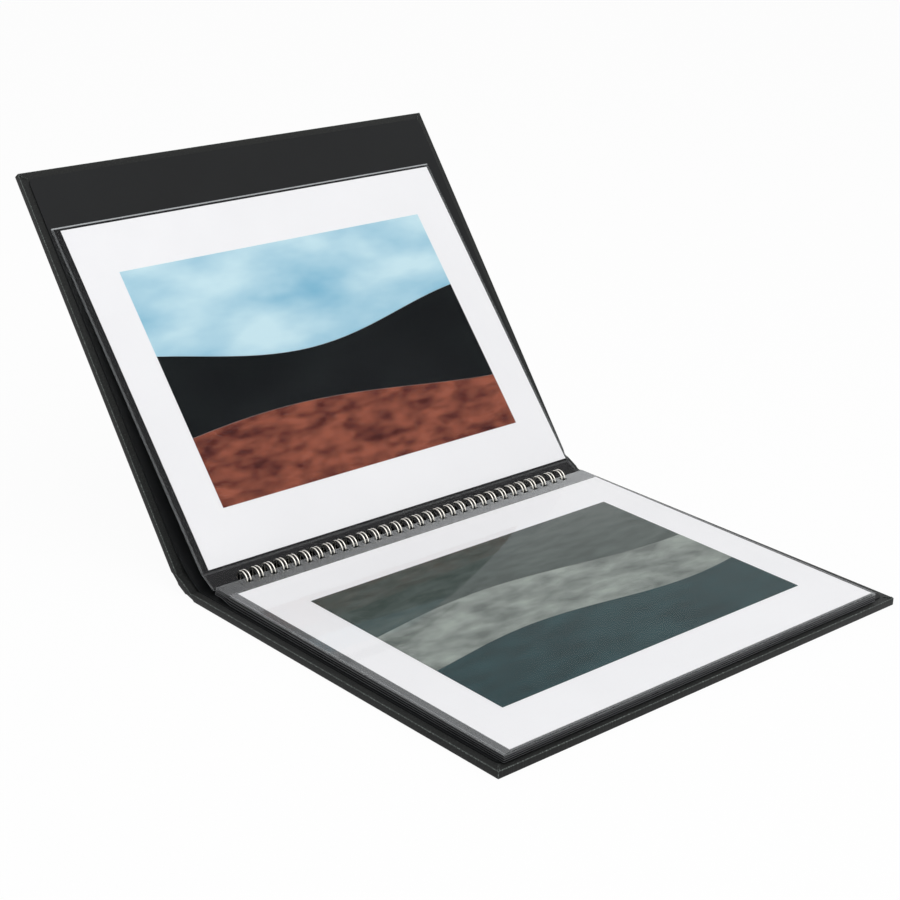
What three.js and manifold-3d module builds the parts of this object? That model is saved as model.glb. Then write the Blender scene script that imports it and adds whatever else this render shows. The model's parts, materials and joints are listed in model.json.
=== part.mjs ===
// Display book with a cloth-covered hard case, standing open with one leaf against the front cover.
// Twin-loop wire holds clear pockets in the gutter, each pocket with a black insert and a white sheet.
// Millimetres, +X along the gutter, the reader on the -Y side, +Z up. The back cover lies on Z = 0.
import * as THREE from "three";
import { mergeVertices } from "three/addons/utils/BufferGeometryUtils.js";
import Module from "manifold-3d";

// Hard case
const coverWidth = 306;
const coverOverhang = 15.5;
const boardThickness = 3.2;
const clothThickness = 0.5;
const clothClearance = 0.1;
const turnIn = 16;
const grooveWidth = 6;
const spineWidth = 8.2;
const foldClearance = 0.3;
const coverAngle = 52.5;

// Black lining of the case, which bows through the gutter
const liningThickness = 0.8;
const liningInset = 4.5;
const layerGap = 0.1;
const gutterBendStart = -6;
const gutterBendRadius = 15;
const gutterEase = 8;
const gutterSteps = 10;
const easeSteps = 8;

// Twin-loop wire
const loopCount = 30;
const loopPitch = 25.4 / 3;
const loopSpacing = 2.4;
const wireDiameter = 1;
const loopRadius = 5;
const wireBehindFold = -14.5;
const wireOverLining = 0.1;
const loopSteps = 12;
const seamAngle = -60;
const seamGap = 14;

// Clear pockets
const pocketWidth = 286;
const pocketShift = -4;
const pocketThickness = 1;
const filmThickness = 0.12;
const weldWidth = 1.2;
const pocketMouth = 12.6;
const holeWidth = 4.2;
const holeToEdge = 3.4;
const holeFromWire = 4.6;
const pocketTop = 10.5;

// Sheets and prints
const sheetWidth = 279.4;
const sheetDepth = 215.9;
const sheetShift = -2;
const sheetSetback = 13.6;
const sheetMouthGap = 2;
const insertThickness = 0.2;
const sheetThickness = 0.22;
const insertMargin = 0.6;
const pictureWidth = 228.6;
const pictureDepth = 152.4;
const printThickness = 0.08;
const printGap = 0.1;
const printSteps = 24;

// Pages under the upper lower pocket
const pageCount = 8;
const pageStagger = 0.5;
const pageNotch = 0.6;
const pageGapShare = 0.15;
const gutterRise = 1.6;
const stripLift = 2.2;
const stripFlat = 6;
const stripRamp = 14;

// Standing leaf
const stripOffset = 2;
const stripBend = 21.6;
const leafSag = 1.2;
const stripLength = 12;
const leanGap = 0.3;

// Worked out from the sizes above
const radians = THREE.MathUtils.degToRad;
const pocketDepth = sheetSetback + sheetDepth + sheetMouthGap;
const coverDepth = pocketDepth + coverOverhang;
const coverThickness = boardThickness + 2 * (clothThickness + clothClearance);
const spineAngle = coverAngle / 2;
const foldSpacing = grooveWidth + spineWidth;
const liningTop = coverThickness + liningThickness;
const wireHeight = liningTop + wireOverLining + wireDiameter / 2 + loopRadius;
const holeCentre = wireBehindFold - holeFromWire;
const stripEdge = holeCentre + holeToEdge;
const pocketFront = stripEdge - pocketDepth;
const firstLoop = pocketShift - (loopPitch * (loopCount - 1)) / 2;
const coverUp = new THREE.Vector2(Math.cos(radians(coverAngle)), Math.sin(radians(coverAngle)));
const coverNormal = new THREE.Vector2(-coverUp.y, coverUp.x);
const coverFold = new THREE.Vector2(
  foldSpacing * Math.cos(radians(spineAngle)),
  coverThickness + foldSpacing * Math.sin(radians(spineAngle)),
);

const wasm = await Module();
wasm.setup();

function toSolid(geometry) {
  const bare = geometry.clone();
  bare.deleteAttribute("normal");
  bare.deleteAttribute("uv");
  const merged = mergeVertices(bare, 1e-4);
  return new wasm.Manifold(
    new wasm.Mesh({
      numProp: 3,
      vertProperties: new Float32Array(merged.attributes.position.array),
      triVerts: new Uint32Array(merged.index.array),
    }),
  );
}

function toGeometry(solid) {
  const mesh = solid.getMesh();
  const geometry = new THREE.BufferGeometry();
  geometry.setAttribute("position", new THREE.BufferAttribute(mesh.vertProperties, 3));
  geometry.setIndex(new THREE.BufferAttribute(mesh.triVerts, 1));
  const flat = geometry.toNonIndexed();
  flat.computeVertexNormals();
  return flat;
}

function join(pieces) {
  return pieces.reduce((whole, piece) => whole.add(piece));
}

function block(x0, x1, y0, y1, z0, z1) {
  const box = new THREE.BoxGeometry(x1 - x0, y1 - y0, z1 - z0);
  return box.translate((x0 + x1) / 2, (y0 + y1) / 2, (z0 + z1) / 2);
}

// A section drawn in the YZ plane, drawn out along X from x0 to x1.
function drawnAlongX(section, x0, x1) {
  const shape = new THREE.Shape(section);
  const geometry = new THREE.ExtrudeGeometry(shape, { depth: x1 - x0, bevelEnabled: false });
  const basis = new THREE.Matrix4().makeBasis(
    new THREE.Vector3(0, 1, 0),
    new THREE.Vector3(0, 0, 1),
    new THREE.Vector3(1, 0, 0),
  );
  return geometry.applyMatrix4(basis).translate(x0, 0, 0);
}

// Both sides of a centre line given by points, at half the thickness.
function ribbon(line, thickness) {
  const left = [];
  const right = [];
  line.forEach((point, i) => {
    const before = line[Math.max(i - 1, 0)];
    const after = line[Math.min(i + 1, line.length - 1)];
    const side = after.clone().sub(before).normalize().rotateAround(new THREE.Vector2(), Math.PI / 2);
    left.push(point.clone().addScaledVector(side, thickness / 2));
    right.push(point.clone().addScaledVector(side, -thickness / 2));
  });
  return right.concat(left.reverse());
}

const book = new THREE.Group();
const paint = {
  cloth: { color: 0x1c1e1e, roughness: 0.85, metalness: 0 },
  board: { color: 0x77716a, roughness: 0.95, metalness: 0 },
  lining: { color: 0x232627, roughness: 0.8, metalness: 0 },
  film: { color: 0xdfe5e8, roughness: 0.12, metalness: 0, transparent: true, opacity: 0.25 },
  insert: { color: 0x17181a, roughness: 0.9, metalness: 0 },
  paper: { color: 0xf2f1f5, roughness: 0.7, metalness: 0 },
  pages: { color: 0x3a3c3e, roughness: 0.5, metalness: 0 },
  wire: { color: 0xd8d6cc, roughness: 0.3, metalness: 1 },
};

function add(group, name, geometry, look) {
  const mesh = new THREE.Mesh(geometry, new THREE.MeshStandardMaterial(look));
  mesh.name = name;
  group.add(mesh);
  return mesh;
}

// The covers and the spine are each drawn with their fold line on Y = 0 and their inner face on Z = 0,
// reaching to +Y, and are then turned into place.
const clothWall = clothThickness + clothClearance;

function boardCore(y0, y1) {
  const half = coverWidth / 2 - clothWall;
  return block(-half, half, y0 + clothWall, y1 - clothWall, clothWall - coverThickness, -clothWall);
}

// Cloth round a board, turned in on the inner face along the edges that are not folds.
function clothShell(y0, y1, edgeIsFree, strips) {
  const half = coverWidth / 2;
  const inner = half - clothThickness;
  const far = edgeIsFree ? y1 - turnIn : y1 - clothThickness;
  const near = y0 + clothThickness;
  const outside = toSolid(block(-half, half, y0, y1, -coverThickness, 0));
  const floor = clothThickness - coverThickness;
  const cavity = toSolid(block(-inner, inner, near, y1 - clothThickness, floor, -clothThickness));
  const window = toSolid(block(turnIn - half, half - turnIn, near, far, -clothWall, clothThickness));
  const shell = outside.subtract(cavity).subtract(window);
  const flaps = strips.map(([a, b]) => toSolid(block(-half, half, a, b, -clothThickness, 0)));
  return toGeometry(join([shell, ...flaps]));
}

const grooveHalf = grooveWidth / 2;
const nearFlap = [foldClearance, grooveHalf + clothThickness / 2];

const backGroup = new THREE.Group();
backGroup.position.z = coverThickness;
backGroup.rotation.z = Math.PI;
book.add(backGroup);

const spineGroup = new THREE.Group();
spineGroup.position.z = coverThickness;
spineGroup.rotation.x = radians(spineAngle);
book.add(spineGroup);

const frontGroup = new THREE.Group();
frontGroup.position.y = foldSpacing;
frontGroup.rotation.x = radians(coverAngle - spineAngle);
spineGroup.add(frontGroup);

for (const [name, group] of [["back", backGroup], ["front", frontGroup]]) {
  add(group, name + "_board", boardCore(grooveHalf, grooveHalf + coverDepth), paint.board);
  const wrapped = clothShell(grooveHalf, grooveHalf + coverDepth, true, [nearFlap]);
  add(group, name + "_cover_cloth", wrapped, paint.cloth);
}

const spineEnd = grooveHalf + spineWidth;
const farFlap = [spineEnd - clothThickness / 2, foldSpacing - foldClearance];
add(spineGroup, "spine_board", boardCore(grooveHalf, spineEnd), paint.board);
add(spineGroup, "spine_cloth", clothShell(grooveHalf, spineEnd, false, [nearFlap, farFlap]), paint.cloth);

// The lining is one black sheet: flat on the back cover, bowed through the gutter, flat on the front cover.
const liningHalf = coverWidth / 2 - liningInset;
const liningReach = grooveHalf + coverDepth - liningInset;
const bendTurn = radians(coverAngle - gutterEase);
const bendEnd = new THREE.Vector2(
  gutterBendStart + gutterBendRadius * Math.sin(bendTurn),
  coverThickness + liningThickness / 2 + gutterBendRadius * (1 - Math.cos(bendTurn)),
);
const liningSeat = layerGap + liningThickness / 2;
const bowHeight = bendEnd.clone().sub(coverFold).dot(coverNormal) - liningSeat;
const easeRadius = bowHeight / (1 - Math.cos(radians(gutterEase)));

function gutterLine() {
  const line = [new THREE.Vector2(wireBehindFold + foldClearance, coverThickness + liningThickness / 2)];
  for (let i = 0; i <= gutterSteps; i++) {
    const turn = (bendTurn * i) / gutterSteps;
    const step = new THREE.Vector2(Math.sin(turn), 1 - Math.cos(turn)).multiplyScalar(gutterBendRadius);
    line.push(step.add(new THREE.Vector2(gutterBendStart, coverThickness + liningThickness / 2)));
  }
  for (let i = 1; i <= easeSteps; i++) {
    const turn = bendTurn + (radians(gutterEase) * i) / easeSteps;
    const step = new THREE.Vector2(Math.sin(turn), -Math.cos(turn));
    step.sub(new THREE.Vector2(Math.sin(bendTurn), -Math.cos(bendTurn)));
    line.push(step.multiplyScalar(easeRadius).add(bendEnd));
  }
  return line;
}

const gutter = gutterLine();
const gutterEnd = gutter[gutter.length - 1].clone().sub(coverFold).dot(coverUp);
const gutterSheet = drawnAlongX(ribbon(gutter, liningThickness), -liningHalf, liningHalf);
add(book, "gutter_lining", gutterSheet, paint.lining);
add(
  backGroup,
  "back_lining",
  block(-liningHalf, liningHalf, -wireBehindFold, liningReach, 0, liningThickness),
  paint.lining,
);
add(
  frontGroup,
  "front_lining",
  block(-liningHalf, liningHalf, gutterEnd + foldClearance, liningReach, layerGap, layerGap + liningThickness),
  paint.lining,
);

// One loop of wire, as a strip of square section round the wire's centre line in the YZ plane.
function loopArc(x) {
  const line = [];
  const sweep = 360 - seamGap;
  for (let i = 0; i <= loopSteps; i++) {
    const turn = radians(seamAngle + (sweep * i) / loopSteps);
    line.push(new THREE.Vector2(Math.cos(turn), Math.sin(turn)).multiplyScalar(loopRadius));
  }
  const half = wireDiameter / 2;
  return toSolid(drawnAlongX(ribbon(line, wireDiameter), x - half, x + half));
}

// A straight bar of the wire along X, at an angle round the wire's axis.
function loopBar(x0, x1, degrees) {
  const bar = block(x0, x1, loopRadius - wireDiameter / 2, loopRadius + wireDiameter / 2, 0, wireDiameter);
  return toSolid(bar.rotateX(radians(degrees)));
}

function twinLoopWire() {
  const pieces = [];
  const tipAngle = seamAngle - seamGap;
  for (let i = 0; i < loopCount; i++) {
    const x = firstLoop + i * loopPitch;
    const left = x - loopSpacing / 2;
    const right = x + loopSpacing / 2;
    pieces.push(loopArc(left), loopArc(right));
    pieces.push(loopBar(left, right, tipAngle - wireDiameter));
    if (i < loopCount - 1) pieces.push(loopBar(right, left + loopPitch, seamAngle));
  }
  return toGeometry(join(pieces));
}

const wire = add(book, "twin_loop_wire", twinLoopWire(), paint.wire);
wire.position.set(0, wireBehindFold, wireHeight);

// A pocket lies flat with its punched edge on Y = 0 and its mouth at the far edge, at +Y.
function punchHoles(holeY, z0, z1, slope) {
  const half = holeWidth / 2;
  const holes = [];
  for (let i = 0; i < loopCount; i++) {
    const x = firstLoop + i * loopPitch;
    const hole = block(x - half, x + half, holeY - half, holeY + half, z0, z1);
    holes.push(toSolid(hole.rotateX(slope)));
  }
  return join(holes);
}

const pocketLeft = pocketShift - pocketWidth / 2;
const pocketRight = pocketShift + pocketWidth / 2;
const cavityFloor = filmThickness;
const cavityTop = pocketThickness - filmThickness;
const insertBase = cavityFloor + layerGap / 2;
const sheetBase = insertBase + insertThickness + layerGap / 2;
const printBase = sheetBase + sheetThickness + layerGap / 4;

function pocketCavity() {
  const x0 = pocketLeft + weldWidth;
  const x1 = pocketRight - weldWidth;
  return toSolid(block(x0, x1, pocketMouth, pocketDepth + weldWidth, cavityFloor, cavityTop));
}

// Fields of the two prints, between wavy lines across the picture. Heights are shares of the picture.
function printField(lower, upper, centre) {
  const points = [];
  const at = (level, share, inset) => {
    const wave = level.rise * Math.sin(level.waves * Math.PI * share + level.phase);
    return (level.height + wave) * pictureDepth + inset;
  };
  const left = centre - pictureWidth / 2;
  for (let i = 0; i <= printSteps; i++) {
    const share = i / printSteps;
    points.push(new THREE.Vector2(left + share * pictureWidth, at(lower, share, printGap / 2)));
  }
  for (let i = printSteps; i >= 0; i--) {
    const share = i / printSteps;
    points.push(new THREE.Vector2(left + share * pictureWidth, at(upper, share, -printGap / 2)));
  }
  const outline = new THREE.Shape(points);
  const field = new THREE.ExtrudeGeometry(outline, { depth: printThickness, bevelEnabled: false });
  return field.translate(0, 0, printBase);
}

const pictureFoot = { height: 0, rise: 0, waves: 0, phase: 0 };
const pictureHead = { height: 1, rise: 0, waves: 0, phase: 0 };
const farRidge = { height: 0.6, rise: 0.07, waves: 1.5, phase: 2.6 };
const nearRidge = { height: 0.27, rise: 0.05, waves: 1.2, phase: 0.4 };
const farShore = { height: 0.66, rise: 0.04, waves: 2, phase: 0.5 };
const nearShore = { height: 0.36, rise: 0.05, waves: 1.6, phase: 1.4 };
const upperPrint = [
  ["sky", 0x8cc6e6, farRidge, pictureHead],
  ["hills", 0x121418, nearRidge, farRidge],
  ["field", 0xa2553a, pictureFoot, nearRidge],
];
const lowerPrint = [
  ["far_water", 0x1d3336, farShore, pictureHead],
  ["sand", 0x9aa09a, nearShore, farShore],
  ["near_water", 0x243f42, pictureFoot, nearShore],
];

function fillPocket(group, name, print, sheetCentre) {
  const insertLeft = pocketLeft + weldWidth + insertMargin;
  const insertRight = pocketRight - weldWidth - insertMargin;
  const sheetLeft = sheetCentre - sheetWidth / 2;
  const sheetRight = sheetCentre + sheetWidth / 2;
  const sheetFar = sheetSetback + sheetDepth;
  const insertNear = pocketMouth + insertMargin;
  const insertFar = pocketDepth - insertMargin;
  const insertTop = insertBase + insertThickness;
  const sheetTop = sheetBase + sheetThickness;
  const insert = block(insertLeft, insertRight, insertNear, insertFar, insertBase, insertTop);
  const sheet = block(sheetLeft, sheetRight, sheetSetback, sheetFar, sheetBase, sheetTop);
  add(group, name + "_insert", insert, paint.insert);
  add(group, name + "_sheet", sheet, paint.paper);
  const pictureNear = sheetSetback + (sheetDepth - pictureDepth) / 2;
  for (const [field, color, lower, upper] of print) {
    const geometry = printField(lower, upper, sheetCentre).translate(0, pictureNear, 0);
    add(group, name + "_print_" + field, geometry, { color, roughness: 0.6, metalness: 0 });
  }
}

// The pocket on the pages is turned half round, so that its punched edge is at the gutter, where the
// strips that ride on the wire lift it a little.
const pocketTilt = Math.asin(gutterRise / pocketDepth);
const flatPocket = new THREE.Group();
flatPocket.position.set(2 * pocketShift, stripEdge, pocketTop - pocketThickness + gutterRise);
flatPocket.rotation.set(pocketTilt, 0, Math.PI);
book.add(flatPocket);

function flatPocketFilm() {
  const film = toSolid(block(pocketLeft, pocketRight, 0, pocketDepth, 0, pocketThickness));
  const holes = punchHoles(holeToEdge, -pocketThickness, 2 * pocketThickness, 0);
  return toGeometry(film.subtract(holes).subtract(pocketCavity()));
}

add(flatPocket, "lower_pocket", flatPocketFilm(), paint.film);

fillPocket(flatPocket, "lower", lowerPrint, 2 * pocketShift - sheetShift);

// The pages under it are one solid, with a line for each page along the front edge.
// Their punched strips ride up on the wire.
function pageStack() {
  const bottom = liningTop + layerGap / 2;
  const top = pocketTop - pocketThickness - layerGap / 2;
  const pitch = (top - bottom) / pageCount;
  const section = [
    new THREE.Vector2(stripEdge - stripRamp, bottom),
    new THREE.Vector2(stripEdge - stripFlat, bottom + stripLift),
    new THREE.Vector2(stripEdge, bottom + stripLift),
    new THREE.Vector2(stripEdge, top + gutterRise),
  ];
  for (let page = pageCount - 1; page >= 0; page--) {
    const edge = pocketFront + (page % 2) * pageStagger;
    const low = bottom + page * pitch;
    section.push(new THREE.Vector2(edge, low + pitch * (1 - pageGapShare)));
    section.push(new THREE.Vector2(edge, low + pitch * pageGapShare));
    if (page > 0) section.push(new THREE.Vector2(pocketFront + pageStagger + pageNotch, low));
  }
  section.push(new THREE.Vector2(pocketFront + pageStagger, bottom));
  const pages = toSolid(drawnAlongX(section, pocketLeft + insertMargin, pocketRight - insertMargin));
  return toGeometry(pages.subtract(punchHoles(holeCentre, 0, 2 * pocketTop, 0)));
}

add(book, "page_stack", pageStack(), paint.pages);

// The standing leaf turns about the wire's axis. Its punched strip hangs on the wire by the upper ends
// of its holes, and above the bend the leaf leans back until its top edge meets the front lining.
const holeReach = Math.sqrt(loopRadius ** 2 - stripOffset ** 2);
const hangReach = holeReach - leafSag;
const bendReach = hangReach - holeToEdge + stripLength;
const bend = radians(stripBend);
const leafSetback = bendReach * Math.sin(bend) + stripOffset * Math.cos(bend);
const bendAlong = bendReach * Math.cos(bend) - stripOffset * Math.sin(bend);
const leafTop = bendAlong + pocketDepth - stripLength;
const wireCentre = new THREE.Vector2(wireBehindFold, wireHeight);
const leanDistance =
  wireCentre.clone().sub(coverFold).dot(coverNormal) - layerGap - liningThickness - leanGap;
const leafBack = leafSetback + pocketThickness / 2;
const lean = Math.asin(leanDistance / Math.hypot(leafTop, leafBack)) - Math.atan2(leafBack, leafTop);
const leafAngle = radians(coverAngle) - lean;

const leaf = new THREE.Group();
leaf.position.set(0, wireBehindFold, wireHeight);
leaf.rotation.x = leafAngle;
book.add(leaf);

const leafPanel = new THREE.Group();
leafPanel.position.set(0, bendAlong - stripLength, -leafSetback - pocketThickness / 2);
leaf.add(leafPanel);

function standingPocketFilm() {
  const edgeReach = hangReach - holeToEdge;
  const edgePoint = new THREE.Vector2(
    edgeReach * Math.cos(bend) - stripOffset * Math.sin(bend),
    -edgeReach * Math.sin(bend) - stripOffset * Math.cos(bend),
  );
  const line = [
    edgePoint,
    new THREE.Vector2(bendAlong, -leafSetback),
    new THREE.Vector2(leafTop, -leafSetback),
  ];
  const film = toSolid(drawnAlongX(ribbon(line, pocketThickness), pocketLeft, pocketRight));
  const holes = punchHoles(hangReach, -2 * stripOffset, 0, -bend);
  const panel = new THREE.Vector3().copy(leafPanel.position);
  const cavity = pocketCavity().translate([panel.x, panel.y, panel.z]);
  return toGeometry(film.subtract(holes).subtract(cavity));
}

add(leaf, "standing_pocket", standingPocketFilm(), paint.film);
fillPocket(leafPanel, "standing", upperPrint, sheetShift);

// The part's origin is under the middle of the whole book.
const part = new THREE.Group();
part.add(book);
part.updateMatrixWorld(true);
const extent = new THREE.Box3().setFromObject(book, true);
const middle = extent.getCenter(new THREE.Vector3());
book.position.set(-middle.x, -middle.y, -extent.min.z);

export default part;
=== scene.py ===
import json
from math import cos, pi, radians, sin

import bmesh
import bpy
from bpy.props import FloatProperty, FloatVectorProperty, IntProperty, PointerProperty
from mathutils import Matrix, Vector


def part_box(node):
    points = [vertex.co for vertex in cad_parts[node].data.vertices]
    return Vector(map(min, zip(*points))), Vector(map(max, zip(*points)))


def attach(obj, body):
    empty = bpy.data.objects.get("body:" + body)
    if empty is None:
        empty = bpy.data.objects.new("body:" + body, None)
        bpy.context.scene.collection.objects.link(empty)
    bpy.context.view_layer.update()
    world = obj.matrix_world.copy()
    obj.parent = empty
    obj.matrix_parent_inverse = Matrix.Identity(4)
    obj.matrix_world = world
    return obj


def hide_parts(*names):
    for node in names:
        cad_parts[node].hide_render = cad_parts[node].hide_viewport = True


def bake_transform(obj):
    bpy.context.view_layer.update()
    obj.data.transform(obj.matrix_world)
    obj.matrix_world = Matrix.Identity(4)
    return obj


bl_info = {
    "name": "Display Book",
    "version": (1, 0, 0),
    "blender": (4, 5, 0),
    "location": "View3D > Sidebar > Display Book",
    "description": "Dresses a wire-bound display book that stands open on its hard case",
    "category": "Add Mesh",
}

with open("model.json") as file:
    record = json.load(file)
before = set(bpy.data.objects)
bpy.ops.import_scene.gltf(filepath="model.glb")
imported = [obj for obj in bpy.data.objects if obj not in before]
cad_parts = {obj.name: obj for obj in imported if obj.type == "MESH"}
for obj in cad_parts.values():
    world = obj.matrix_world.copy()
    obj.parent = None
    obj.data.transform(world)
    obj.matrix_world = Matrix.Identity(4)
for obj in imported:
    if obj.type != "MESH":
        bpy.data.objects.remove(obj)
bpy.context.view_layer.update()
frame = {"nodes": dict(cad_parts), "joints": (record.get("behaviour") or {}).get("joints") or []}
NODES = frame["nodes"]
JOINTS = {joint["name"]: joint for joint in frame["joints"]}
BACK_FOLD = Vector(JOINTS["spine_hinge"]["pos_m"])
FRONT_FOLD = Vector(JOINTS["cover_hinge"]["pos_m"])
WIRE_AXIS = Vector(JOINTS["leaf_turn"]["pos_m"])

MM = 0.001
COVER_ANGLE = radians(52.5)
SPINE_ANGLE = radians(26.25)
LEAF_ANGLE = radians(49.0783)
COVER_WIDTH = 306 * MM
COVER_REACH = 250 * MM
COVER_THICKNESS = 4.4 * MM
GROOVE_HALF = 3 * MM
CREASE_HALF = 0.6 * MM
CREASE_DEPTH = 0.5 * MM
SPINE_LENGTH = 14.2 * MM
SPINE_MIDDLE = SPINE_LENGTH / 2
LINING_HALF = 148.5 * MM
LINING_REACH = 245.5 * MM
LINING_THICKNESS = 0.8 * MM
LINING_HEIGHT = 4.8 * MM
BEND_START = -6 * MM
BEND_RADIUS = 15 * MM
BEND_ANGLE = radians(31.795)
EASE_RADIUS = 90.68 * MM
LOOP_COUNT = 30
LOOP_PITCH = 25.4 / 3 * MM
LOOP_SPACING = 2.4 * MM
LOOP_RADIUS = 5 * MM
LOOP_SEAM = radians(-60)
LOOP_SWEEP = radians(336)
LOOP_STEPS = 26
WIRE_CORNER = 0.9 * MM
POCKET_LEFT = -147 * MM
POCKET_RIGHT = 139 * MM
FIRST_LOOP = -4 * MM - LOOP_PITCH * (LOOP_COUNT - 1) / 2
HOLE_HALF = 2.1 * MM
HOLE_NEAR = 1.3 * MM
HOLE_FAR = 5.5 * MM
WELD = 1.2 * MM
BORDER = 5.2 * MM
BORDER_FRONT = 1.9 * MM
TURN_IN = 4.5 * MM
MITRE_INSET = TURN_IN * 0.56
MITRE_HEIGHT = 0.1 * MM
MITRE_SIZE = (5.2 * MM, 1.1 * MM, 0.6 * MM)
MITRE_ROUNDING = 0.15 * MM
GUTTER_RISE = 1.6 * MM
STRIP_BEND = radians(21.6)
STRIP_OFFSET = -2 * MM
STRIP_EDGE = -0.017 * MM
LEAF_SETBACK = -6.2706 * MM
LEAF_TOP = 229.905 * MM
PAGE_LIFT = 2.2 * MM
PAGE_FILL = 0.66
# In millimetres, how far each page lies back from the front edge, and to the right
PAGE_SETBACKS = (0.5, -0.2, 0.35, 0.0, 0.45, 0.1, 0.3, 0.05)
PAGE_SHIFTS = (0.4, -0.3, 0.2, -0.1, 0.5, 0.0, -0.2, 0.1)
CORE_THICKNESS = 0.16 * MM
SHARP_ANGLE = 0.6
# How much of the floor is white of its own for the camera, so that only a soft shadow shows on it
FLOOR_GLOW = 0.95


# Places in the section across the fold


def from_fold(fold, angle, along, height):
    """A point at a distance along a board from its fold, and at a height over its inner face."""
    y = fold.y + along * cos(angle) - height * sin(angle)
    z = fold.z + along * sin(angle) + height * cos(angle)
    return Vector((0, y, z))


def on_back(along, height):
    return Vector((0, BACK_FOLD.y - along, BACK_FOLD.z + height))


def on_spine(along, height):
    return from_fold(BACK_FOLD, SPINE_ANGLE, along, height)


def on_front(along, height):
    return from_fold(FRONT_FOLD, COVER_ANGLE, along, height)


def on_leaf(along, height):
    return from_fold(WIRE_AXIS, LEAF_ANGLE, along, height)


# Mesh helpers


def moved_verts(result):
    """The vertices at the new end of an extrusion."""
    return [g for g in result["geom"] if isinstance(g, bmesh.types.BMVert)]


def moved_edges(result):
    """The edges at the new end of an extrusion."""
    fresh = set(moved_verts(result))
    return [g for g in result["geom"] if isinstance(g, bmesh.types.BMEdge) and fresh.issuperset(g.verts)]


def last_vert(spun):
    return [g for g in spun["geom_last"] if isinstance(g, bmesh.types.BMVert)][0]


def prism(bm, section, half):
    """A closed solid from a section in the YZ plane, drawn from -half to half along X."""
    corners = [bm.verts.new((-half, p.y, p.z)) for p in section]
    face = bm.faces.new(corners)
    drawn = bmesh.ops.extrude_face_region(bm, geom=[face])
    bmesh.ops.translate(bm, verts=moved_verts(drawn), vec=(2 * half, 0, 0))
    bmesh.ops.recalc_face_normals(bm, faces=bm.faces)


def sharp_edges(bm):
    return [e for e in bm.edges if e.is_manifold and e.calc_face_angle(0) > SHARP_ANGLE]


def soften(bm, limit=radians(35)):
    """Shades a mesh smooth, apart from its sharp edges."""
    for face in bm.faces:
        face.smooth = True
    for edge in bm.edges:
        edge.smooth = edge.is_manifold and edge.calc_face_angle(0) < limit


def lay_uv(bm, run):
    """A UV map in metres: along X and along the sheet, with the thickness on narrow faces."""
    layer = bm.loops.layers.uv.new("UVMap")
    for face in bm.faces:
        for loop in face.loops:
            co = loop.vert.co
            along, depth = run(co)
            across = depth if abs(face.normal.x) > 0.7 else co.x
            loop[layer].uv = (across, along)


def case_run(co):
    """How far a point of the case lies along the cloth, and how deep."""
    back = co.y - BACK_FOLD.y
    if back <= 0:
        return back, co.z
    over = co - FRONT_FOLD
    along = over.y * cos(COVER_ANGLE) + over.z * sin(COVER_ANGLE)
    if along > 0:
        return along + SPINE_LENGTH, over.z * cos(COVER_ANGLE) - over.y * sin(COVER_ANGLE)
    spine = co - BACK_FOLD
    return (
        spine.y * cos(SPINE_ANGLE) + spine.z * sin(SPINE_ANGLE),
        spine.z * cos(SPINE_ANGLE) - spine.y * sin(SPINE_ANGLE),
    )


def make_piece(name, bm, *materials):
    """Makes the object of a piece, with its materials in the order of its faces' indices."""
    mesh = bpy.data.meshes.new(name)
    bm.to_mesh(mesh)
    bm.free()
    for material in materials:
        mesh.materials.append(material)
    obj = bpy.data.objects.new(name, mesh)
    bpy.context.scene.collection.objects.link(obj)
    return obj


def join(whole, bm):
    """Adds a finished part to a piece's mesh."""
    mesh = bpy.data.meshes.new("part")
    bm.to_mesh(mesh)
    bm.free()
    whole.from_mesh(mesh)
    bpy.data.meshes.remove(mesh)


def finish_node(name, material):
    """Gives a carried-over node its material."""
    mesh = NODES[name].data
    mesh.materials.clear()
    mesh.materials.append(material)
    for polygon in mesh.polygons:
        polygon.material_index = 0


# Materials


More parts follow.
